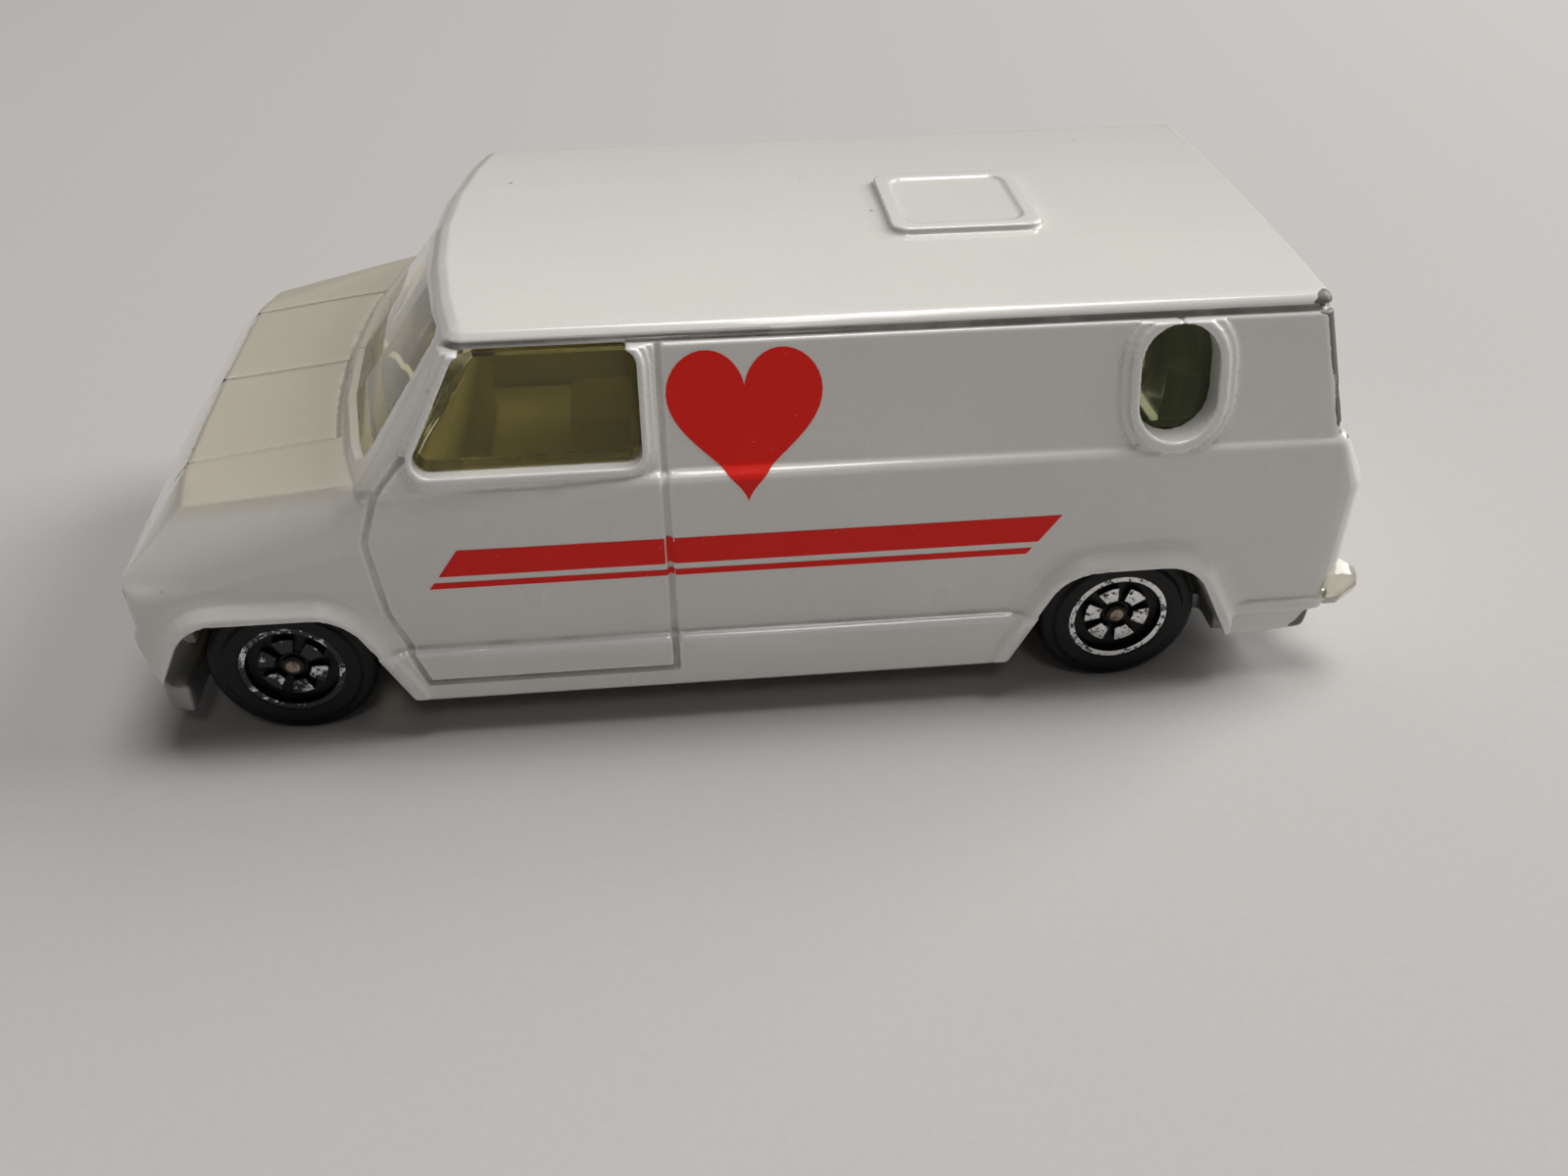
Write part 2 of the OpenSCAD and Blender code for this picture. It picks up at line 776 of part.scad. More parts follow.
module window_glazing() {
    out = wall + fit_gap;
    color("darkseagreen", 0.5) difference() {
        intersection() {
            union() {
                cabin(-out);
                panes(screen_recess, fit_gap);
            }
            translate([-length / 2, -width / 2, belt_h + 2 * fit_gap])
                cube([length, width, height]);
        }
        cabin(-out - glass_t);
        panes(screen_recess + glass_t, fit_gap + glass_t);
    }
}

// Windscreen and door panes in their openings, a depth inside the cabin and a gap inside the outlines
module panes(depth, gap) {
    intersection() {
        cabin(-depth);
        union() {
            along_x(screen_back_x + gap, nose_x) screen_outline(-gap);
            through_y() door_window_outline(-gap);
        }
    }
}

// Base, axles and wheels

module base_outline() {
    edge = [
        [bumper_x - bumper_t, base_narrow_half],
        [front_axle_x - base_arch_half, base_narrow_half],
        [front_axle_x - base_arch_half, base_wide_half],
        [rear_axle_x + base_arch_half, base_wide_half],
        [rear_axle_x + base_arch_half, base_narrow_half],
        [rear_axle_x - arch_w / 2, base_narrow_half],
        [rear_axle_x - arch_w / 2, base_tail_half],
        [base_rear_x, base_tail_half]
    ];
    polygon(mirrored(edge));
}

// Bumper in plan: a bowed bar with its ends turned back round the corners
module bumper_outline() {
    outer = [[bumper_leg_x, bumper_half], [bumper_x - bumper_bow, bumper_half], [bumper_x, 0],
        [bumper_x - bumper_bow, -bumper_half], [bumper_leg_x, -bumper_half]];
    inner_half = bumper_half - bumper_t;
    inner = [[bumper_leg_x, -inner_half], [bumper_x - bumper_t - bumper_bow, -inner_half],
        [bumper_x - bumper_t - bumper_bow, inner_half], [bumper_leg_x, inner_half]];
    polygon(concat(
        [outer[0]],
        corner_arc(outer[0], outer[1], outer[2], bumper_r),
        [outer[2]],
        corner_arc(outer[2], outer[3], outer[4], bumper_r),
        [outer[4]],
        inner));
}

// Slanted plate behind each rear wheel, seen from the side
module wheel_housings() {
    foot = [rear_axle_x - arch_w / 2, base_h + base_t];
    both_sides() translate([0, (base_narrow_half + base_tail_half) / 2, 0])
        through_y(base_tail_half - base_narrow_half)
            polygon([foot, foot + [housing_run, housing_rise], foot + [housing_run - housing_t, housing_rise],
                foot - [housing_t, 0], foot - [housing_t, base_t / 2], foot - [0, base_t / 2]]);
}

module bearings() {
    top = axle_z + axle_d / 2 + bearing_over;
    for (x = axle_places) both_sides()
        translate([x - bearing_l / 2, base_narrow_half - bearing_w, base_h + base_t / 2])
            cube([bearing_l, bearing_w, top - base_h - base_t / 2]);
}

// Slot that holds an axle from below and lets it in from above
module axle_slots() {
    slot_r = axle_d / 2 + run_gap;
    for (x = axle_places) {
        translate([x, 0, axle_z]) rotate([90, 0, 0]) cylinder(r = slot_r, h = width, center = true);
        translate([x - slot_r, -width / 2, axle_z]) cube([2 * slot_r, width, height]);
    }
}

module chassis_base() {
    relief_l = wheelbase * relief_half_l_share;
    color("dimgray") difference() {
        union() {
            translate([0, 0, base_h]) linear_extrude(base_t) base_outline();
            translate([0, 0, base_h]) linear_extrude(bumper_h) bumper_outline();
            bearings();
            wheel_housings();
        }
        axle_slots();
        for (p = post_places) translate([p[0], 0, base_h]) {
            translate([0, 0, -over]) cylinder(d = rivet_d + 2 * fit_gap, h = bumper_h + over);
            translate([0, 0, -over]) cylinder(d = rivet_head_d + 2 * fit_gap, h = rivet_sink + over);
        }
        for (s = [-1, 1])
            translate([(front_axle_x + rear_axle_x) / 2, s * (relief_w + relief_gap) / 2, base_h - over])
                rounded_box(relief_l, relief_w, relief_d + over, base_corner_r);
    }
}

// Wire axle with a closed head at each end
module axle(x) {
    tip = wheel_face_y - hub_sink + run_gap;
    color("darkgoldenrod") translate([x, 0, axle_z]) rotate([90, 0, 0]) {
        cylinder(d = axle_d, h = 2 * tip, center = true);
        for (s = [-1, 1]) translate([0, 0, s * (tip + axle_head_t / 2)])
            cylinder(d = axle_head_d, h = axle_head_t, center = true);
    }
}

module front_axle() { axle(front_axle_x); }
module rear_axle() { axle(rear_axle_x); }

// Section of a wheel from its inner face at 0 to its outer face
module wheel_section() {
    face = wheel_w;
    r = wheel_d / 2;
    step_r = r - shoulder_in;
    polygon(concat(
        [[bore_r, 0], [r - tread_r, 0]],
        [for (a = [-90:30:0]) [r - tread_r + tread_r * cos(a), tread_r + tread_r * sin(a)]],
        [for (a = [0:30:90])
            [r - tread_r + tread_r * cos(a), face - shoulder_drop - tread_r + tread_r * sin(a)]],
        [[step_r, face - shoulder_drop], [step_r - shoulder_drop, face], [ring_out_r + ring_sink, face],
            [ring_out_r, face - ring_sink], [ring_in_r, face - ring_sink], [ring_in_r, face - dish_sink],
            [hub_r, face - dish_sink], [hub_r - (dish_sink - hub_sink), face - hub_sink],
            [bore_r, face - hub_sink]]));
}

module wheel(x) {
    color([0.12, 0.12, 0.12]) translate([x, wheel_inner_y, axle_z]) rotate([-90, 0, 0]) {
        rotate_extrude() wheel_section();
        for (i = [0:pad_count - 1]) rotate([0, 0, i * 360 / pad_count])
            translate([0, 0, wheel_w - dish_sink - run_gap]) linear_extrude(dish_sink - pad_sink + run_gap)
                polygon(concat(
                    [for (k = [-1:0.5:1]) pad_in_r * [cos(k * pad_angle / 2), sin(k * pad_angle / 2)]],
                    [for (k = [1:-0.5:-1]) pad_out_r * [cos(k * pad_angle / 2), sin(k * pad_angle / 2)]]));
    }
}

module wheel_front_left() { wheel(front_axle_x); }
module wheel_front_right() { mirror([0, 1, 0]) wheel(front_axle_x); }
module wheel_rear_left() { wheel(rear_axle_x); }
module wheel_rear_right() { mirror([0, 1, 0]) wheel(rear_axle_x); }

// Interior

module tray_outline() {
    edge = [
        [tray_front_x, tongue_half],
        [front_axle_x - base_arch_half, tongue_half],
        [tray_wide_x, tray_half],
        [rear_axle_x + base_arch_half, tray_half],
        [rear_axle_x + base_arch_half, tongue_half],
        [tray_rear_x, tongue_half]
    ];
    polygon(mirrored(edge));
}

// Cushion and ribbed back of a seat, in its own place
module seat() {
    cushion_x = seat_l / 2;
    rib_pitch = seat_back_h / (2 * seat_ribs + 1);
    translate([cushion_x, 0, 0]) rounded_box(seat_l, seat_w, seat_h, seat_r);
    difference() {
        through_y(seat_w) polygon([[0, 0], [seat_back_t, 0], [seat_back_t / 2, seat_h + seat_back_h],
            [-seat_back_t / 2, seat_h + seat_back_h]]);
        for (i = [0:seat_ribs - 1])
            translate([0, 0, seat_h + rib_pitch * (2 * i + 1)])
                rotate([0, -atan(seat_back_t / 2 / (seat_h + seat_back_h)), 0])
                    translate([seat_back_t - seat_rib_d, -seat_w, 0]) cube([over, 2 * seat_w, rib_pitch]);
    }
}

// Dash with a rounded upper edge, and the steering wheel on the left
module dash() {
    dash_x = tray_wide_x - dash_l;
    translate([dash_x, 0, 0]) through_y(2 * tongue_half) polygon(concat(
        [[0, 0], [0, dash_h - dash_r]],
        [for (a = [180:-15:90]) [dash_r + dash_r * cos(a), dash_h - dash_r + dash_r * sin(a)]],
        [[dash_l, dash_h - dash_r], [dash_l, 0]]));
    translate([dash_x, seat_y, dash_h - dash_r]) rotate([0, -wheel_ring_tilt, 0]) {
        translate([0, 0, -wheel_column_l / 2]) cylinder(d = wheel_column_d, h = wheel_column_l * 3 / 2);
        translate([0, 0, wheel_column_l]) rotate_extrude()
            translate([(wheel_ring_d - wheel_ring_t) / 2, 0]) circle(d = wheel_ring_t, $fn = 16);
        for (s = [0, 120, 240]) rotate([0, 0, s])
            translate([0, -wheel_ring_t / 2, wheel_column_l - wheel_ring_t / 2])
                cube([(wheel_ring_d - wheel_ring_t) / 2, wheel_ring_t, wheel_ring_t]);
    }
}

module interior_tray() {
    color("khaki") translate([0, 0, tray_z]) {
        linear_extrude(tray_t) tray_outline();
        translate([0, 0, tray_t / 2]) {
            dash();
            for (s = [-1, 1]) translate([door_x + door_post, s * seat_y, 0]) seat();
        }
    }
}

body_shell();
chassis_base();
window_glazing();
interior_tray();
front_axle();
rear_axle();
wheel_front_left();
wheel_front_right();
wheel_rear_left();
wheel_rear_right();
headlamp_left();
headlamp_right();
tail_lamp_left();
tail_lamp_right();
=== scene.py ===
"""Looks of a small die-cast toy van: enamelled casting, tinted glass, foil-faced wheels and a metal base."""

import math

import bmesh
import bpy
import numpy as np
from mathutils import Matrix, Vector
from mathutils.bvhtree import BVHTree


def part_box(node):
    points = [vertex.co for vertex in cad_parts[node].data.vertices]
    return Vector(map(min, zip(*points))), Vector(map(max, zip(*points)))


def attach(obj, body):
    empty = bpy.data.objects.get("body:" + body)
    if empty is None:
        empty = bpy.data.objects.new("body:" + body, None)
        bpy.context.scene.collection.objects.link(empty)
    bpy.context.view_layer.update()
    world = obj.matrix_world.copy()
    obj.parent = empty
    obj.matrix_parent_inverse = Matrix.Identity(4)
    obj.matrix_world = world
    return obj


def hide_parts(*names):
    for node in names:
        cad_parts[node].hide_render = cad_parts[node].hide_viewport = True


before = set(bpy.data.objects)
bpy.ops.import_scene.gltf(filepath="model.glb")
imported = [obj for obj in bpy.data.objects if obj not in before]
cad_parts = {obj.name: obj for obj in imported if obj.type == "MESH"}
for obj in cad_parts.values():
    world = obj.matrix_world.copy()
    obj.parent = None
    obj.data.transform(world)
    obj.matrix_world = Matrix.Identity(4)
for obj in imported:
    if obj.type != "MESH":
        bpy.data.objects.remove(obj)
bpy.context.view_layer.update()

MM = 0.001


def mm(*lengths):
    """A point given in millimetres, in metres."""
    return Vector(lengths) * MM


# Finishes


class Finish:
    """A material whose pattern lies on the piece's own millimetres."""

    def __init__(self, name, **sockets):
        self.material = bpy.data.materials.new(name)
        self.material.use_nodes = True
        self.tree = self.material.node_tree
        self.shader = self.tree.nodes["Principled BSDF"]
        for key, value in sockets.items():
            self.shader.inputs[key.replace("_", " ")].default_value = value
        self.where = self.node(
            "Mapping",
            {"Vector": self.node("TexCoord").outputs["Object"], "Scale": (1 / MM,) * 3},
        ).outputs[0]

    def node(self, kind, inputs=None, **settings):
        made = self.tree.nodes.new("ShaderNode" + kind)
        for name, value in settings.items():
            setattr(made, name, value)
        for key, value in (inputs or {}).items():
            self.feed(made.inputs[key], value)
        return made

    def feed(self, socket, value):
        if isinstance(value, bpy.types.NodeSocket):
            self.tree.links.new(value, socket)
        else:
            socket.default_value = value

    def set(self, key, value):
        self.feed(self.shader.inputs[key], value)

    def stretched(self, x, y, z):
        return self.node("Mapping", {"Vector": self.where, "Scale": (x, y, z)}).outputs[0]

    def noise(self, size, detail=3.0, rough=0.55, where=None):
        """Noise from 0 to 1 with grains of a size in millimetres."""
        made = self.node(
            "TexNoise",
            {"Vector": where or self.where, "Scale": 1 / size, "Detail": detail, "Roughness": rough},
        )
        return made.outputs["Fac"]

    def specks(self, size):
        """Distance to the nearest of a cloud of points, as a share of their spacing in millimetres."""
        return self.node("TexVoronoi", {"Vector": self.where, "Scale": 1 / size}).outputs["Distance"]

    def span(self, value, low, high, to_low=0.0, to_high=1.0):
        """A value carried smoothly from one range to another."""
        made = self.node(
            "MapRange",
            {"Value": value, "From Min": low, "From Max": high, "To Min": to_low, "To Max": to_high},
            interpolation_type="SMOOTHSTEP",
        )
        return made.outputs[0]

    def maths(self, operation, a, b=0.0):
        return self.node("Math", {0: a, 1: b}, operation=operation).outputs[0]

    def chain(self, operation, values):
        """One value from several, taken two by two."""
        result = values[0]
        for value in values[1:]:
            result = self.maths(operation, result, value)
        return result

    def sum(self, *values):
        return self.chain("ADD", values)

    def times(self, *values):
        return self.chain("MULTIPLY", values)

    def most(self, *values):
        return self.chain("MAXIMUM", values)

    def mix(self, share, a, b):
        made = self.node("Mix", data_type="RGBA")
        self.feed(made.inputs[0], share)
        for socket, colour in ((made.inputs[6], a), (made.inputs[7], b)):
            self.feed(socket, colour if isinstance(colour, bpy.types.NodeSocket) else (*colour, 1))
        return made.outputs[2]

    def near(self, point, reach):
        """1 at a point and 0 past its reach, in millimetres."""
        gap = self.node("VectorMath", {0: self.where, 1: point}, operation="DISTANCE").outputs["Value"]
        return self.span(gap, reach, reach * 0.35)

    def along(self, start, end, reach):
        """1 on a straight line between two points and 0 past its reach, in millimetres."""
        run = Vector(end) - Vector(start)
        arm = self.node("VectorMath", {0: self.where, 1: start}, operation="SUBTRACT").outputs[0]
        unit = run / run.length_squared
        share = self.node("VectorMath", {0: arm, 1: unit}, operation="DOT_PRODUCT").outputs["Value"]
        share = self.node("Clamp", {"Value": share}).outputs[0]
        foot = self.node("VectorMath", {0: run, "Scale": share}, operation="SCALE").outputs[0]
        gap = self.node("VectorMath", {0: arm, 1: foot}, operation="DISTANCE").outputs["Value"]
        return self.span(gap, reach, reach * 0.4)

    def stripe(self, value, at, half):
        """1 where a value is at a place and 0 past half a width from it."""
        gap = self.maths("ABSOLUTE", self.maths("SUBTRACT", value, at))
        return self.span(gap, half, half * 0.4)

    def axis(self, name):
        return self.node("SeparateXYZ", {0: self.where}).outputs[name]

    def attribute(self, name):
        return self.node("Attribute", attribute_name=name).outputs["Fac"]

    def bump(self, height, depth, strength=1.0):
        """Relief of a depth in millimetres."""
        made = self.node("Bump", {"Height": height, "Distance": depth * MM, "Strength": strength})
        self.set("Normal", made.outputs[0])


# Enamel: two tones of its white, the hood's white darkened and warmed as painted shade, a painted highlight on
# edges, bare casting, and a dark tone for grime and painted shade
WARM_WHITE = (0.84, 0.822, 0.775)
COOL_WHITE = (0.82, 0.806, 0.768)
HOOD_SHADE_WHITE = (0.655, 0.602, 0.47)
EDGE_HIGHLIGHT_WHITE = (0.93, 0.925, 0.91)
BARE_ZINC = (0.13, 0.125, 0.12)
GRIME_AND_SHADE = (0.20, 0.18, 0.155)

# Places where the paint has gone from the edges: a point, a reach and how bare it is
CHIPPED = (
    ((-30.4, 13.8, 23.8), 1.3, 1.0),
    ((-32.6, 15.6, 16.4), 1.0, 0.7),
    ((-33.2, 15.9, 3.4), 2.1, 1.0),
    ((32.3, 14.2, 14.5), 0.8, 0.75),
    ((32.0, -14.2, 14.7), 1.2, 0.9),
    ((34.9, 15.4, 10.4), 0.8, 0.9),
    ((34.8, 15.6, 7.6), 0.9, 0.7),
    ((-30.4, -13.8, 23.8), 1.3, 0.8),
    ((15.0, -12.8, 23.9), 1.1, 0.7),
)
# Creases with a thin line of grime and painted shade: its two ends, its reach and its strength
DIRTY_SHADED_CREASES = (
    ((31.7, 14.5, 14.3), (20.6, 16.1, 16.2), 0.4, 0.4),
    ((31.7, -14.5, 14.3), (20.6, -16.1, 16.2), 0.4, 0.4),
)
# Edges with a thin broken line of wear: its two ends, its reach and how bare it is
RUBBED = (
    ((-30.6, 13.9, 23.3), (-31.9, 15.9, 16.8), 0.6, 1.0),
    ((-30.6, -13.9, 23.3), (-31.9, -15.9, 16.8), 0.6, 0.9),
    ((31.8, 13.9, 14.6), (32.0, 0.0, 14.95), 0.4, 0.75),
    ((31.8, -13.9, 14.6), (32.0, 0.0, 14.95), 0.4, 0.75),
    ((13.6, 13.2, 23.6), (15.4, -12.8, 23.7), 0.8, 0.6),
)
# Lines of painted shade down the hood, in its grooves: their place across it and how dark they are
HOOD_LINES = ((-9.6, 0.6), (0.0, 0.5), (9.6, 0.12))
HOOD_LINE_HALF = 0.16
# Line of painted shade across the hood's rear: its place in the middle, its bow by the distance squared, and
# its half width
COWL_LINE = 24.05
COWL_BOW = 2.4 / 16.5 ** 2
COWL_LINE_HALF = 0.17
# Drop of the hood's side crease for each millimetre forwards
HOOD_FALL = 0.171
# Closed ends of the rivet posts: the height that they lie below, and a distance from the middle that holds them
RIVET_TOP = 2.6
RIVET_HALF = 6.0


def hood_line_shade(f):
    """Painted shade in the hood's lines: down its middle, near each side, and the bowed one across its rear."""
    x, y = f.axis("X"), f.axis("Y")
    top = f.times(f.span(f.axis("Z"), 14.2, 14.6), f.span(x, 32.3, 31.9))
    lid = f.times(f.span(x, 22.6, 23.4), top)
    down = f.most(*(f.times(f.stripe(y, at, HOOD_LINE_HALF), share) for at, share in HOOD_LINES))
    bow = f.sum(x, f.times(y, y, COWL_BOW))
    ends = f.times(f.span(y, -9.7, -9.5), f.span(y, 9.7, 9.5))
    across = f.times(f.stripe(bow, COWL_LINE, COWL_LINE_HALF), ends, f.span(y, -2.0, 1.0, 0.15, 0.5))
    return f.most(f.times(down, lid), f.times(across, top))


def bare_places(f):
    """1 where the paint has gone: at the chipped points and along the rubbed edges."""
    places = [f.times(f.near(point, reach), share) for point, reach, share in CHIPPED]
    for start, end, reach, share in RUBBED:
        breaks = f.span(f.noise(1.6, 3.0), 0.35, 0.55, 0.82, 1.0)
        places.append(f.times(f.along(start, end, reach), share, breaks))
    return f.most(*places)


def enamel():
    """Thick white enamel on a casting: soft sheen, grime and painted shade in its lines, grooves and gutter,
    painted shade on the hood, painted highlights on its edges, bare metal at its knocked edges.
    """
    f = Finish("white_enamel", Coat_Roughness=0.1)
    relief = f.attribute("relief")
    edge = f.span(relief, -0.012, -0.05)
    groove = f.span(relief, 0.012, 0.05)
    tone = f.noise(9.0, 2.0)
    fine = f.noise(0.5, 4.0, 0.65)
    colour = f.mix(f.span(tone, 0.35, 0.65), WARM_WHITE, COOL_WHITE)
    rise = f.sum(f.axis("Z"), f.times(f.axis("X"), HOOD_FALL))
    # The hood's top is painted darker and warmer: painted shade under the cabin, with a warm painted
    # reflection.
    lid = f.times(f.span(f.axis("X"), 18.8, 23.6), f.span(rise, 19.0, 20.2))
    colour = f.mix(f.times(lid, 0.85), colour, HOOD_SHADE_WHITE)
    # Convex edges painted lighter: a painted highlight.
    colour = f.mix(f.times(edge, 0.9), colour, EDGE_HIGHLIGHT_WHITE)
    # Grooves painted darker: grime with painted shade in the hollows.
    dirt_and_shade = f.times(groove, f.span(f.noise(2.2, 4.0), 0.4, 0.75, 0.12, 0.42))
    for start, end, reach, share in DIRTY_SHADED_CREASES:
        breaks = f.span(f.noise(1.2, 4.0), 0.3, 0.6, 0.5, 1.0)
        dirt_and_shade = f.most(dirt_and_shade, f.times(f.along(start, end, reach), breaks, share))
    # Dark line under the roof's edge: painted shadow with grime.
    gutter_dirt_and_shade = f.times(
        f.span(f.axis("Z"), 22.7, 23.1), f.span(f.axis("Z"), 24.0, 23.6), f.span(relief, 0.0, 0.03),
        f.span(f.noise(2.4, 4.0), 0.3, 0.6, 0.4, 0.75),
    )
    # Grooves, creases, the gutter and the hood's lines take the dark tone: grime and painted shade.
    colour = f.mix(f.most(dirt_and_shade, gutter_dirt_and_shade, hood_line_shade(f)), colour, GRIME_AND_SHADE)
    pits = f.times(f.span(f.specks(2.6), 0.07, 0.04), f.span(f.noise(6.0), 0.5, 0.6))
    colour = f.mix(f.times(pits, 0.6), colour, GRIME_AND_SHADE)
    colour = f.mix(f.span(f.noise(0.14, 2.0), 0.3, 0.7, 0.0, 0.05), colour, GRIME_AND_SHADE)
    bare = bare_places(f)
    worn = f.times(f.span(f.noise(1.1, 5.0, 0.7), 0.66, 0.72), f.span(relief, -0.05, -0.09), 0.3)
    broken = f.span(f.sum(bare, f.times(fine, 0.5), f.times(edge, 0.45)), 1.0, 1.12)
    low = f.span(f.axis("Z"), RIVET_TOP, RIVET_TOP - 0.2)
    rivets = f.times(low, f.stripe(f.axis("Y"), 0.0, RIVET_HALF))
    chips = f.most(f.times(broken, f.span(bare, 0.05, 0.2)), worn, rivets)
    f.set("Base Color", f.mix(chips, colour, f.mix(fine, BARE_ZINC, GRIME_AND_SHADE)))
    f.set("Metallic", f.times(chips, 0.3))
    f.set("Coat Weight", f.span(chips, 0.1, 0.6, 0.9, 0.1))
    f.set("Roughness", f.sum(f.span(tone, 0.3, 0.7, 0.27, 0.31), f.times(chips, 0.24)))
    peel = f.sum(f.times(f.noise(1.4, 2.0), 0.7), f.times(chips, -1.2))
    f.bump(f.sum(peel, f.times(pits, -1.0)), 0.03, 0.5)
    return f.material


def print_ink():
    """Red print on the enamel, with a few flecks rubbed away."""
    f = Finish("print_ink", Specular_IOR_Level=0.12)
    gone = f.span(f.noise(0.32, 5.0, 0.7), 0.68, 0.73)
    tone = f.noise(3.0)
    ink = f.mix(tone, (0.95, 0.030, 0.022), (0.88, 0.024, 0.018))
    f.set("Base Color", f.mix(f.times(gone, 0.9), ink, WARM_WHITE))
    f.set("Roughness", f.span(tone, 0.3, 0.7, 0.30, 0.42))
    f.bump(f.noise(0.2), 0.006, 0.4)
    return f.material


def base_metal():
    """Cast zinc under dull plating, with a grain and rubbed edges."""
    f = Finish("base_metal", Metallic=0.75)
    grain = f.noise(0.25, 5.0, 0.7)
    cloud = f.noise(3.5, 3.0)
    rubbed = f.times(f.span(f.attribute("relief"), -0.01, -0.05), f.span(grain, 0.35, 0.7))
    colour = f.mix(f.span(cloud, 0.35, 0.65), (0.33, 0.33, 0.338), (0.39, 0.388, 0.383))
    f.set("Base Color", f.mix(f.times(rubbed, 0.7), colour, (0.42, 0.41, 0.40)))
    f.set("Roughness", f.span(grain, 0.3, 0.7, 0.36, 0.58))
    f.bump(grain, 0.02, 0.5)
    return f.material


def window_tint():
    """Olive tinted clear plastic with faint flow marks, painted darker and greener at the rear and at the
    windscreen's lower part as painted shade.
    """
    f = Finish("window_tint", Transmission_Weight=0.93, IOR=1.14, Coat_Weight=1.0, Coat_Roughness=0.03)
    flow = f.noise(4.0, 2.0, where=f.stretched(0.5, 1.0, 1.6))
    tint = f.mix(flow, (0.92, 0.86, 0.50), (0.88, 0.82, 0.47))
    # Rear panes and the windscreen's lower part painted darker: painted shade of the dark inside seen through
    # them.
    tint = f.mix(f.span(f.axis("X"), 2.0, -2.0), tint, (0.55, 0.60, 0.35))
    f.set("Base Color", f.mix(f.span(f.axis("X"), 20.5, 23.0), tint, (0.42, 0.48, 0.34)))
    f.set("Roughness", f.span(f.noise(0.8, 4.0), 0.4, 0.75, 0.03, 0.10))
    f.bump(f.noise(2.4, 2.0), 0.02, 0.3)
    return f.material


def interior_plastic():
    """Cream moulded plastic with a fine satin grain."""
    f = Finish("interior_plastic")
    cloud = f.noise(4.0, 3.0)
    f.set("Base Color", f.mix(cloud, (0.82, 0.75, 0.53), (0.74, 0.68, 0.48)))
    f.set("Roughness", f.span(cloud, 0.3, 0.7, 0.42, 0.55))
    f.bump(f.noise(0.15, 3.0), 0.015, 0.4)
    return f.material


def axle_wire():
    """Coppered wire, darker where it has oxidised."""
    f = Finish("axle_wire", Metallic=0.8)
    spots = f.noise(0.3, 5.0, 0.7)
    dark = f.most(f.span(spots, 0.45, 0.7), f.span(f.attribute("radius"), 0.34, 0.44))
    f.set("Base Color", f.mix(dark, (0.36, 0.29, 0.22), (0.035, 0.028, 0.024)))
    f.set("Roughness", f.span(spots, 0.35, 0.7, 0.30, 0.55))
    f.bump(spots, 0.01, 0.5)
    return f.material


def wheel_plastic():
    """Black moulded plastic, dusty grey in its grain."""
    f = Finish("wheel_plastic", Specular_IOR_Level=0.22)
    dust = f.noise(0.7, 5.0, 0.65)
    f.set("Base Color", f.mix(f.span(dust, 0.5, 0.8), (0.004, 0.004, 0.0045), (0.015, 0.014, 0.014)))
    f.set("Roughness", f.span(dust, 0.3, 0.7, 0.3, 0.5))
    f.bump(f.noise(0.18, 4.0), 0.012, 0.5)
    return f.material


def wheel_foil(name, worn, patch):
    """Stamped silver foil on black plastic, worn away by a share in patches of a size in millimetres."""
    f = Finish(name)
    rubs = f.noise(patch, 6.0, 0.75)
    left = f.span(rubs, worn - 0.03, worn + 0.03)
    tone = f.noise(0.2, 3.0)
    silver = f.mix(tone, (0.86, 0.86, 0.85), (0.66, 0.66, 0.66))
    f.set("Base Color", f.mix(left, (0.014, 0.014, 0.015), silver))
    f.set("Metallic", f.times(left, 0.85))
    f.set("Roughness", f.span(left, 0.0, 1.0, 0.5, 0.24))
    f.bump(f.sum(left, f.times(tone, 0.3)), 0.01, 0.6)
    return f.material


def lamp_clear():
    """Clear pressed lens over a bright backing."""
    f = Finish("lamp_clear", Transmission_Weight=0.55, IOR=1.5)
    ribs = f.noise(0.5, 2.0, where=f.stretched(1.0, 3.0, 0.4))
    f.set("Base Color", f.mix(ribs, (0.88, 0.88, 0.85), (0.74, 0.74, 0.72)))
    f.set("Roughness", f.span(ribs, 0.3, 0.7, 0.06, 0.16))
    f.bump(ribs, 0.03, 0.6)
    return f.material


def lamp_stone():
    """Cut clear stone with a yellow cast."""
    f = Finish("lamp_stone", Transmission_Weight=0.75, IOR=1.6)
    cloud = f.noise(0.9, 3.0)
    f.set("Base Color", f.mix(cloud, (0.97, 0.95, 0.84), (0.92, 0.90, 0.74)))
    f.set("Roughness", f.span(cloud, 0.3, 0.7, 0.04, 0.12))
    f.bump(f.noise(0.3, 3.0), 0.01, 0.5)
    return f.material


# Pieces


def object_of(name, mesh, *materials):
    made = bpy.data.objects.new(name, mesh)
    bpy.context.scene.collection.objects.link(made)
    for material in materials:
        mesh.materials.append(material)
    return made


def mesh_of(name, bm):
    mesh = bpy.data.meshes.new(name)
    bm.to_mesh(mesh)
    bm.free()
    return mesh


def merged(node):
    """A joined-up copy of a node's loose triangles."""
    bm = bmesh.new()
    bm.from_mesh(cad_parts[node].data)
    bmesh.ops.remove_doubles(bm, verts=bm.verts, dist=0.002 * MM)
    for layer in list(bm.loops.layers.uv):
        bm.loops.layers.uv.remove(layer)
    return bm


def smooth_by_angle(bm, degrees):
    """Rounds the shading, apart from edges sharper than an angle."""
    for face in bm.faces:
        face.smooth = True
    for edge in bm.edges:
        edge.smooth = len(edge.link_faces) == 2 and edge.calc_face_angle() < math.radians(degrees)


def baked(made):
    """An object's mesh with its modifiers applied, which then leaves the scene."""
    graph = bpy.context.evaluated_depsgraph_get()
    mesh = bpy.data.meshes.new_from_object(made.evaluated_get(graph))
    bpy.data.objects.remove(made)
    return mesh


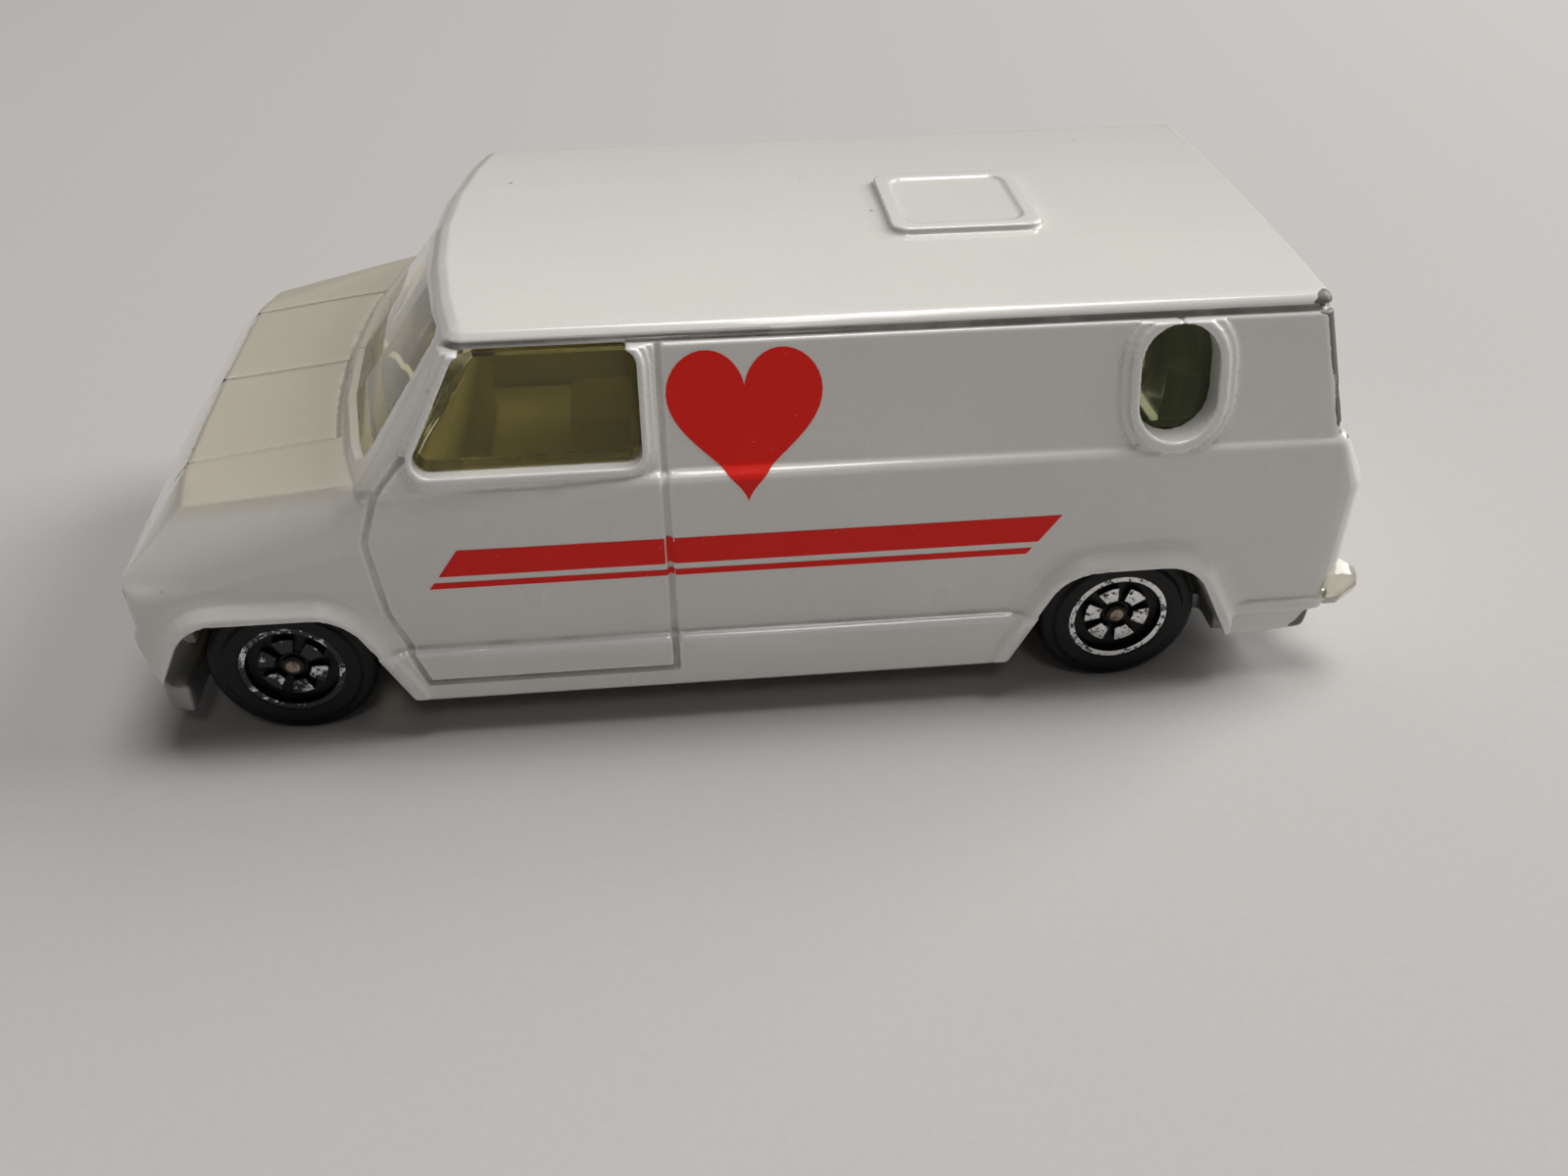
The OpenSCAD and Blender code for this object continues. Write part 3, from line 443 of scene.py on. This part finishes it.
def points_of(mesh):
    flat = np.empty(len(mesh.vertices) * 3)
    mesh.vertices.foreach_get("co", flat)
    return flat.reshape(-1, 3)


def softened(mesh, rounds):
    """A copy of a mesh whose edges are relaxed by rounds of smoothing."""
    made = object_of("softened", mesh.copy())
    relax = made.modifiers.new("relax", "SMOOTH")
    relax.factor = 0.5
    relax.iterations = rounds
    return baked(made)


def wrapped(mesh, mould):
    """A copy of a mesh whose points lie on a mould."""
    made = object_of("wrapped", mesh.copy())
    wrap = made.modifiers.new("wrap", "SHRINKWRAP")
    wrap.target = mould
    wrap.wrap_method = "NEAREST_SURFACEPOINT"
    return baked(made)


def relief_of(mesh, even):
    """Depth of points below the evened surface in millimetres: negative on edges, positive in grooves."""
    normals = np.empty(len(mesh.vertices) * 3)
    mesh.vertex_normals.foreach_get("vector", normals)
    return ((even - points_of(mesh)) * normals.reshape(-1, 3)).sum(axis=1) / MM


def eased(values, start, end):
    """0 before a start and 1 past an end, eased between them."""
    share = np.clip((values - start) / (end - start), 0, 1)
    return share * share * (3 - 2 * share)


# Planes of a wing's slope and side, as a normal and a distance from the origin, and the blend between them
WING_SLOPE = (0.233, 0.693, 0.683, 26.718)
WING_SIDE = (0.041, 0.984, 0.173, 19.197)
WING_ROUND = 0.7
# Ledge along the sill: the height that it ends at, how far it stands out, and the most that it may reach
SILL_TOP = 6.05
SILL_OUT = 0.32
SILL_LIMIT = 17.08
# Feet of the wheel arches at the sill, the sill's height, and how far an arch leans for each millimetre up
SILL_FOOT = 2.7
SILL_REAR = -14.5
SILL_FRONT = 20.6
ARCH_LEAN = 0.6
# Valance below the tail: where it starts, its top, its lower edge and how much it is drawn out
VALANCE_FRONT = -27.6
VALANCE_TOP = 4.6
VALANCE_LOW = 2.8
VALANCE_DRAW = 2.3


def plane_out(plane, x, z):
    """How far out a plane lies above points of X and Z, in millimetres."""
    return (plane[3] - plane[0] * x - plane[2] * z) / plane[1]


def rounded_wing(x, out, z):
    """How far out the body's points lie, with the crease rounded where a wing's slope meets its side."""
    slope = plane_out(WING_SLOPE, x, z)
    side = plane_out(WING_SIDE, x, z)
    sharp = np.minimum(slope, side)
    blend = sharp - WING_ROUND * np.log1p(np.exp(-np.abs(slope - side) / WING_ROUND))
    skin = eased(out - sharp, -0.8, -0.5) * eased(x, 20.8, 23.0) * eased(z, 9.8, 11.2)
    return out + skin * (np.minimum(out, blend) - out)


def body_details(points, even):
    """Points of the body's skin: a calm hood, rounded wings, a fuller sill ledge and a deeper valance."""
    x, y, z = points.T / MM
    calm = eased(x, 23.0, 23.6) * eased(x, 31.4, 30.9) * eased(np.abs(y), 12.8, 12.2) * eased(z, 14.2, 14.5)
    x, y, z = (points + calm[:, None] * (even - points)).T / MM
    out = rounded_wing(x, np.abs(y), z)
    lean = ARCH_LEAN * (z - SILL_FOOT)
    ends = eased(x + lean, SILL_REAR, SILL_REAR + 0.3) * eased(x - lean, SILL_FRONT, SILL_FRONT - 0.3)
    sill = eased(out, 15.5, 15.8) * eased(z, SILL_TOP, SILL_TOP - 0.25) * ends
    out = np.maximum(out, np.minimum(out + SILL_OUT * sill, SILL_LIMIT))
    drawn = np.minimum(z, np.maximum(VALANCE_TOP - (VALANCE_TOP - z) * VALANCE_DRAW, VALANCE_LOW))
    z = z + (drawn - z) * eased(x, VALANCE_FRONT, VALANCE_FRONT - 0.3)
    return np.stack((x, np.sign(y) * out, z), axis=1) * MM


def base_details(points, even):
    """Points of the base's skin, with its bumper worn round."""
    bumper = eased(points[:, 0] / MM, 31.0, 32.5)
    return points + bumper[:, None] * (even - points)


# Rounds of smoothing that give the evened surface which relief is measured from
EVEN_ROUNDS = 24


def cast(name, node, material, voxel, rounds, faces, details):
    """A node as a casting: its edges are soft as under paint, and an attribute holds their relief."""
    mould = object_of("mould", mesh_of("mould", merged(node)))
    made = object_of("remeshed", mould.data.copy())
    remesh = made.modifiers.new("remesh", "REMESH")
    remesh.mode = "VOXEL"
    remesh.voxel_size = voxel * MM
    skin = softened(baked(made), rounds)
    points = points_of(skin)
    even = points_of(softened(skin, EVEN_ROUNDS))
    flat = 1 - eased(np.abs(relief_of(skin, even)), 0.006, 0.02)
    points += flat[:, None] * (points_of(wrapped(skin, mould)) - points)
    bpy.data.objects.remove(mould)
    points = details(points, even)
    skin.vertices.foreach_set("co", points.ravel())
    skin.update()
    relief = relief_of(skin, points_of(softened(skin, EVEN_ROUNDS))).astype(np.float32)
    skin.attributes.new("relief", "FLOAT", "POINT").data.foreach_set("value", relief)
    made = object_of("skin", skin)
    thin = made.modifiers.new("thin", "DECIMATE")
    skin.calc_loop_triangles()
    thin.ratio = min(1.0, faces / len(skin.loop_triangles))
    mesh = baked(made)
    mesh.name = name
    mesh.shade_smooth()
    piece = object_of(name, mesh, material)
    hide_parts(node)
    return piece


def moulded(name, node, material, width, segments=3):
    """A node as a moulding, with its edges bevelled."""
    bm = merged(node)
    bmesh.ops.dissolve_limit(bm, angle_limit=math.radians(0.5), verts=bm.verts, edges=bm.edges)
    smooth_by_angle(bm, 40)
    piece = object_of(name, mesh_of(name, bm), material)
    bevel = piece.modifiers.new("edges", "BEVEL")
    bevel.width = width * MM
    bevel.segments = segments
    bevel.limit_method = "ANGLE"
    bevel.angle_limit = math.radians(35)
    bevel.harden_normals = True
    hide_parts(node)
    return piece


def pane(name, node, material):
    """A node as clear plastic: its own faces, joined and evenly shaded."""
    bm = merged(node)
    smooth_by_angle(bm, 25)
    piece = object_of(name, mesh_of(name, bm), material)
    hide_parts(node)
    return piece


def bevel_sharp(bm, edges, width, segments=3):
    sharp = [e for e in edges if len(e.link_faces) == 2 and e.calc_face_angle() > math.radians(30)]
    bmesh.ops.bevel(
        bm, geom=sharp, offset=width * MM, offset_type="OFFSET", segments=segments, profile=0.5,
        affect="EDGES", material=-1, clamp_overlap=True,
    )


def turned(bm, section, steps, closed):
    """Turns a section of radius and height round the Y axis, in millimetres."""
    verts = [bm.verts.new(mm(0, height, radius)) for radius, height in section]
    pairs = list(zip(verts, verts[1:]))
    if closed:
        pairs.append((verts[-1], verts[0]))
    edges = [bm.edges.new(pair) for pair in pairs]
    bmesh.ops.spin(
        bm, geom=verts + edges, cent=(0, 0, 0), axis=(0, 1, 0), angle=math.tau, steps=steps, use_merge=True
    )
    bmesh.ops.remove_doubles(bm, verts=bm.verts, dist=0.001 * MM)


# Section of a wheel as radius and height from its inner face: bore, tread, shoulder, foil ring, dish and hub
WHEEL_FACE = 3.8
WHEEL_SECTION = (
    (0.5, 0.0), (4.7, 0.0), (4.7, 3.6), (3.95, 3.6), (3.75, WHEEL_FACE), (3.03, WHEEL_FACE),
    (2.95, 3.72), (2.58, 3.72), (2.58, 3.1), (0.95, 3.1), (0.80, 3.25), (0.5, 3.25),
)
TREAD_R = 0.5
FOIL_RING = (2.6, 2.93)
PAD_R = (1.0, 1.95)
PAD_TOP = 3.5
PAD_FOOT = 3.05
PAD_ANGLE = 39
PADS = 6


def wheel(node, body, plastic, foil, turn):
    """A wheel with a rounded tread, a dished face with six pads, and foil on the ring and the pads."""
    low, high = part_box(node)
    left = low.y + high.y > 0
    bm = bmesh.new()
    turned(bm, WHEEL_SECTION, 96, closed=True)
    bmesh.ops.recalc_face_normals(bm, faces=bm.faces)
    tread = [
        e for e in bm.edges
        if all(math.hypot(v.co.x, v.co.z) > 4.6 * MM for v in e.verts)
        and abs(e.verts[0].co.y - e.verts[1].co.y) < 0.1 * MM
    ]
    bevel_sharp(bm, tread, TREAD_R, 6)
    rings = [e for e in bm.edges if abs(e.verts[0].co.y - e.verts[1].co.y) < 1e-7]
    bevel_sharp(bm, [e for e in rings if e.verts[0].co.y > 2.5 * MM], 0.05)
    for i in range(PADS):
        pad = bmesh.new()
        corners = ((PAD_R[0], PAD_FOOT), (PAD_R[1], PAD_FOOT), (PAD_R[1], PAD_TOP), (PAD_R[0], PAD_TOP))
        face = pad.faces.new([pad.verts.new(mm(0, height, radius)) for radius, height in corners])
        bmesh.ops.rotate(
            pad, verts=pad.verts, cent=(0, 0, 0),
            matrix=Matrix.Rotation(math.radians(i * 360 / PADS - PAD_ANGLE / 2), 3, "Y"),
        )
        bmesh.ops.spin(
            pad, geom=[face, *face.edges, *face.verts], cent=(0, 0, 0), axis=(0, 1, 0),
            angle=math.radians(PAD_ANGLE), steps=8,
        )
        bmesh.ops.holes_fill(pad, edges=pad.edges)
        bmesh.ops.recalc_face_normals(pad, faces=pad.faces)
        bevel_sharp(pad, pad.edges, 0.06)
        bm.from_mesh(mesh_of("pad", pad))
    for face in bm.faces:
        centre = face.calc_center_median() / MM
        radius = math.hypot(centre.x, centre.z)
        on_ring = FOIL_RING[0] < radius < FOIL_RING[1] and centre.y > 3.6
        on_pad = PAD_R[0] < radius < PAD_R[1] and centre.y > PAD_TOP - 0.03
        face.material_index = 1 if on_ring or on_pad else 0
    bmesh.ops.rotate(bm, verts=bm.verts, cent=(0, 0, 0), matrix=Matrix.Rotation(math.radians(turn), 3, "Y"))
    if not left:
        bmesh.ops.rotate(bm, verts=bm.verts, cent=(0, 0, 0), matrix=Matrix.Rotation(math.pi, 3, "Z"))
    hub = Vector(((low.x + high.x) / 2, low.y if left else high.y, (low.z + high.z) / 2))
    bmesh.ops.translate(bm, verts=bm.verts, vec=hub)
    smooth_by_angle(bm, 35)
    piece = object_of(node + "_look", mesh_of(node, bm), plastic, foil)
    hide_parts(node)
    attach(piece, body)


def axle(node, material):
    """A wire with a closed, domed head at each end."""
    low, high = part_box(node)
    tip = (high.y - low.y) / 2 / MM
    head, shaft, thick = 0.65, 0.45, 0.28
    bm = bmesh.new()
    dome = [
        (head * math.cos(math.radians(a)), tip - 0.16 + 0.16 * math.sin(math.radians(a)))
        for a in (0, 20, 38, 50, 60, 75, 90)
    ]
    turned(bm, [(shaft, 0), (shaft, tip - thick), (head, tip - thick), *dome], 40, closed=False)
    bmesh.ops.mirror(bm, geom=[*bm.verts, *bm.edges, *bm.faces], axis="Y", merge_dist=0.001 * MM)
    bmesh.ops.remove_doubles(bm, verts=bm.verts, dist=0.001 * MM)
    bmesh.ops.recalc_face_normals(bm, faces=bm.faces)
    smooth_by_angle(bm, 40)
    radius = bm.verts.layers.float.new("radius")
    for vert in bm.verts:
        vert[radius] = math.hypot(vert.co.x, vert.co.z) / MM
    bmesh.ops.translate(bm, verts=bm.verts, vec=((low.x + high.x) / 2, 0, (low.z + high.z) / 2))
    piece = object_of(node + "_look", mesh_of(node, bm), material)
    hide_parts(node)
    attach(piece, "van")


# Print on the sides: a plain heart and a band with a thin line below it, as outlines of X and Z


def heart(x, z, width, height):
    """A plain heart round a middle, as points of its outline."""
    points = []
    for i in range(72):
        t = math.tau * i / 72
        across = math.sin(t) ** 3
        up = (13 * math.cos(t) - 5 * math.cos(2 * t) - 2 * math.cos(3 * t) - math.cos(4 * t) + 2.5) / 29
        points.append((x + across * width / 2, z + up * height))
    return points


def band(front, rear, low, high, slant):
    """A straight band with slanted ends."""
    return [(front, low), (front - slant, high), (rear - slant, high), (rear, low)]


PRINTS = (
    ("heart", heart(0.8, 18.7, 8.2, 8.0)),
    ("band", band(17.8, -15.4, 10.9, 12.6, 1.2)),
    ("line", band(18.4, -14.8, 10.1, 10.5, 0.3)),
)
PRINT_STEPS = (0.12, 0.24)
PRINT_LIFT = 0.02


def printed(name, outline, side, skin, material):
    """A thin film cut to an outline and laid on the side of the body."""
    bm = bmesh.new()
    verts = [bm.verts.new(mm(x, 0, z)) for x, z in outline]
    edges = [bm.edges.new(pair) for pair in zip(verts, verts[1:] + verts[:1])]
    bmesh.ops.triangle_fill(bm, edges=edges, use_beauty=True)
    spans = [(min(p[i] for p in outline), max(p[i] for p in outline)) for i in (0, 1)]
    for (low, high), step, normal in zip(spans, PRINT_STEPS, ((1, 0, 0), (0, 0, 1))):
        for i in range(1, math.ceil((high - low) / step)):
            at = low + i * step
            bmesh.ops.bisect_plane(
                bm, geom=[*bm.verts, *bm.edges, *bm.faces], dist=1e-8,
                plane_co=Vector(normal) * at * MM, plane_no=normal,
            )
    for vert in bm.verts:
        start = Vector((vert.co.x, side * 0.03, vert.co.z))
        hit, normal, _, _ = skin.ray_cast(start, Vector((0, -side, 0)))
        vert.co = hit + normal * PRINT_LIFT * MM
    bmesh.ops.recalc_face_normals(bm, faces=bm.faces)
    if sum(f.normal.y for f in bm.faces) * side < 0:
        bmesh.ops.reverse_faces(bm, faces=bm.faces)
    smooth_by_angle(bm, 60)
    piece = object_of(name, mesh_of(name, bm), material)
    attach(piece, "van")


# The van

# Grain of a casting's mesh in millimetres, its rounds of smoothing and its count of triangles
BODY_GRAIN = (0.11, 3, 190000)
BASE_GRAIN = (0.2, 8, 60000)

body = cast("body_look", "body_shell", enamel(), *BODY_GRAIN, body_details)
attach(body, "van")

base = cast("base_look", "chassis_base", base_metal(), *BASE_GRAIN, base_details)
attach(base, "van")

glazing = pane("glazing_look", "window_glazing", window_tint())
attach(glazing, "van")

tray = moulded("tray_look", "interior_tray", interior_plastic(), 0.12)
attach(tray, "van")

lens, stone = lamp_clear(), lamp_stone()
for lamp, finish, slot in (
    ("headlamp_left", lens, "lamp_clear"), ("headlamp_right", lens, "lamp_clear"),
    ("tail_lamp_left", stone, "lamp_amber"), ("tail_lamp_right", stone, "lamp_amber"),
):
    piece = moulded(lamp + "_look", lamp, finish, 0.04, 2)
    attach(piece, "van")

wire = axle_wire()
for node in ("front_axle", "rear_axle"):
    axle(node, wire)

plastic = wheel_plastic()
rear_foil = wheel_foil("rear_wheel_foil", 0.44, 0.42)
front_foil = wheel_foil("front_wheel_foil", 0.575, 0.9)
wheel("wheel_front_left", "front_left_wheel", plastic, front_foil, 8)
wheel("wheel_front_right", "front_right_wheel", plastic, front_foil, -20)
wheel("wheel_rear_left", "rear_left_wheel", plastic, rear_foil, 22)
wheel("wheel_rear_right", "rear_right_wheel", plastic, rear_foil, 5)

ink = print_ink()
surface = bmesh.new()
surface.from_mesh(body.data)
skin = BVHTree.FromBMesh(surface)
surface.free()
for side, where in ((1, "left"), (-1, "right")):
    for shape, outline in PRINTS:
        printed(f"print_{shape}_{where}", outline, side, skin, ink)

# Stage: a pale paper floor, a low window light from behind the tail, a soft ceiling light and a small lamp

paper = Finish("paper_floor", Roughness=0.9)
paper.set("Base Color", paper.mix(paper.noise(0.6, 4.0), (0.51, 0.495, 0.488), (0.55, 0.535, 0.526)))
paper.bump(paper.noise(0.35, 4.0), 0.03, 0.3)
bm = bmesh.new()
bmesh.ops.create_grid(bm, x_segments=1, y_segments=1, size=2.0)
floor = object_of("floor", mesh_of("floor", bm), paper.material)

world = bpy.data.worlds.new("room")
world.use_nodes = True
world.node_tree.nodes["Background"].inputs["Color"].default_value = (1.0, 0.985, 0.965, 1)
world.node_tree.nodes["Background"].inputs["Strength"].default_value = 0.075
bpy.context.scene.world = world


def soft_lamp(name, place, size, power, colour):
    lamp = bpy.data.lights.new(name, "AREA")
    lamp.shape = "RECTANGLE"
    lamp.size, lamp.size_y = size
    lamp.energy = power
    lamp.color = colour
    made = bpy.data.objects.new(name, lamp)
    made.location = place
    made.rotation_mode = "QUATERNION"
    made.rotation_quaternion = (Vector((0, 0, 0.01)) - Vector(place)).to_track_quat("-Z", "Y")
    bpy.context.scene.collection.objects.link(made)


soft_lamp("window", (-0.8, -0.27, 0.53), (0.6, 0.6), 7.5, (1.0, 0.985, 0.96))
soft_lamp("ceiling", (-0.15, -0.09, 1.0), (0.45, 0.45), 5.5, (1.0, 0.985, 0.965))
soft_lamp("sparkle", (-0.02, 0.46, 0.6), (0.13, 0.13), 0.22, (1.0, 0.99, 0.98))

# Camera at the photograph's place, with its own turn about the line of sight

EYE_PLACE = (4.619, 78.757, 55.377)
LENS = 31.856
SENSOR = 36
AZIMUTH, ELEVATION, ROLL = -1.66152, 0.639745, -0.006453
ahead = Vector((
    math.cos(ELEVATION) * math.cos(AZIMUTH), math.cos(ELEVATION) * math.sin(AZIMUTH), -math.sin(ELEVATION)
))
level = ahead.cross(Vector((0, 0, 1))).normalized()
above = level.cross(ahead)
right = level * math.cos(ROLL) + above * math.sin(ROLL)
up = above * math.cos(ROLL) - level * math.sin(ROLL)
eye = bpy.data.cameras.new("camera")
eye.lens = LENS
eye.sensor_width = SENSOR
eye.clip_start = 0.005
eye.clip_end = 20
camera = bpy.data.objects.new("camera", eye)
facing = Matrix((right, up, -ahead)).transposed().to_4x4()
camera.matrix_world = Matrix.Translation(mm(*EYE_PLACE)) @ facing
bpy.context.scene.collection.objects.link(camera)
bpy.context.scene.camera = camera
bpy.context.scene.view_settings.view_transform = "Standard"

bpy.context.view_layer.update()
